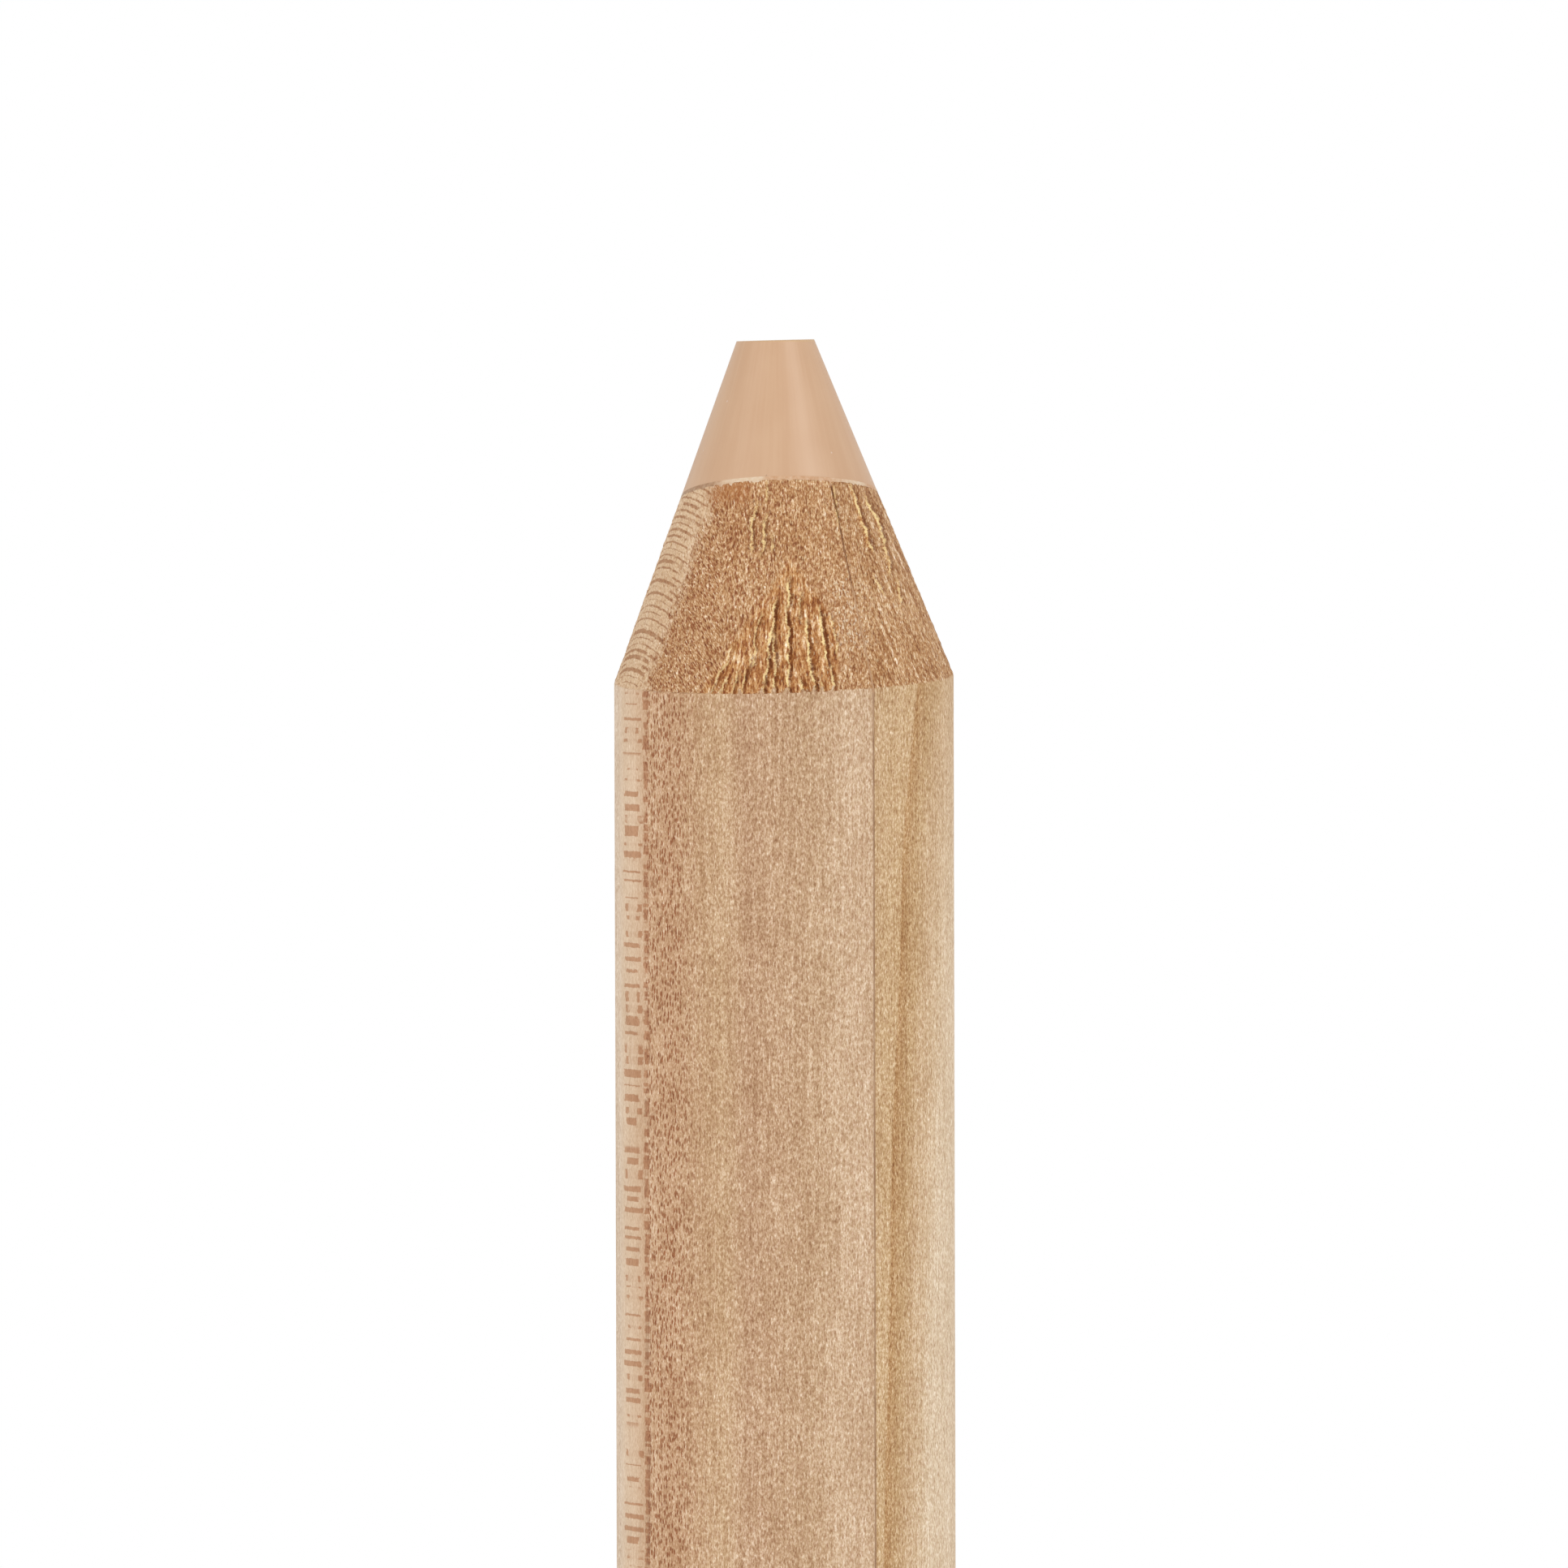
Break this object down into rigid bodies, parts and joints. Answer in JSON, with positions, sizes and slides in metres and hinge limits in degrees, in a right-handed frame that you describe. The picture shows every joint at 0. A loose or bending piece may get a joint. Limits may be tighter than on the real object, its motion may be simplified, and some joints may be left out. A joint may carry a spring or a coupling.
{
  "type": "jumbo wood-cased pencil",
  "caption": "Thick round wood-cased pencil with a wide beige crayon core, sharpened to a cone with a flat tip; two glued wooden casing halves round the core.",
  "frame": {"origin": "centre of the flat rear end, on the barrel's axis", "axes": "+Z along the barrel's axis towards the tip, -Y the front, with a glue line 31 degrees from it towards +X"},
  "size_m": [0.0118, 0.0118, 0.125],
  "materials": {
    "crayon": "smooth satin wax, fine sharpening streaks",
    "glue": "dried white wood glue, satin",
    "left_slat_wood": "raw, fine sanded, unlacquered, rough where sharpened",
    "right_slat_wood": "raw, fine sanded, unlacquered, rough where sharpened"
  },
  "bodies": {
    "root": {"core": "crayon", "core_glue_sleeve": "glue", "casing_half_left": "left_slat_wood", "casing_half_right": "right_slat_wood", "glue_film_front": "glue", "glue_film_rear": "glue"}
  },
  "joints": []
}
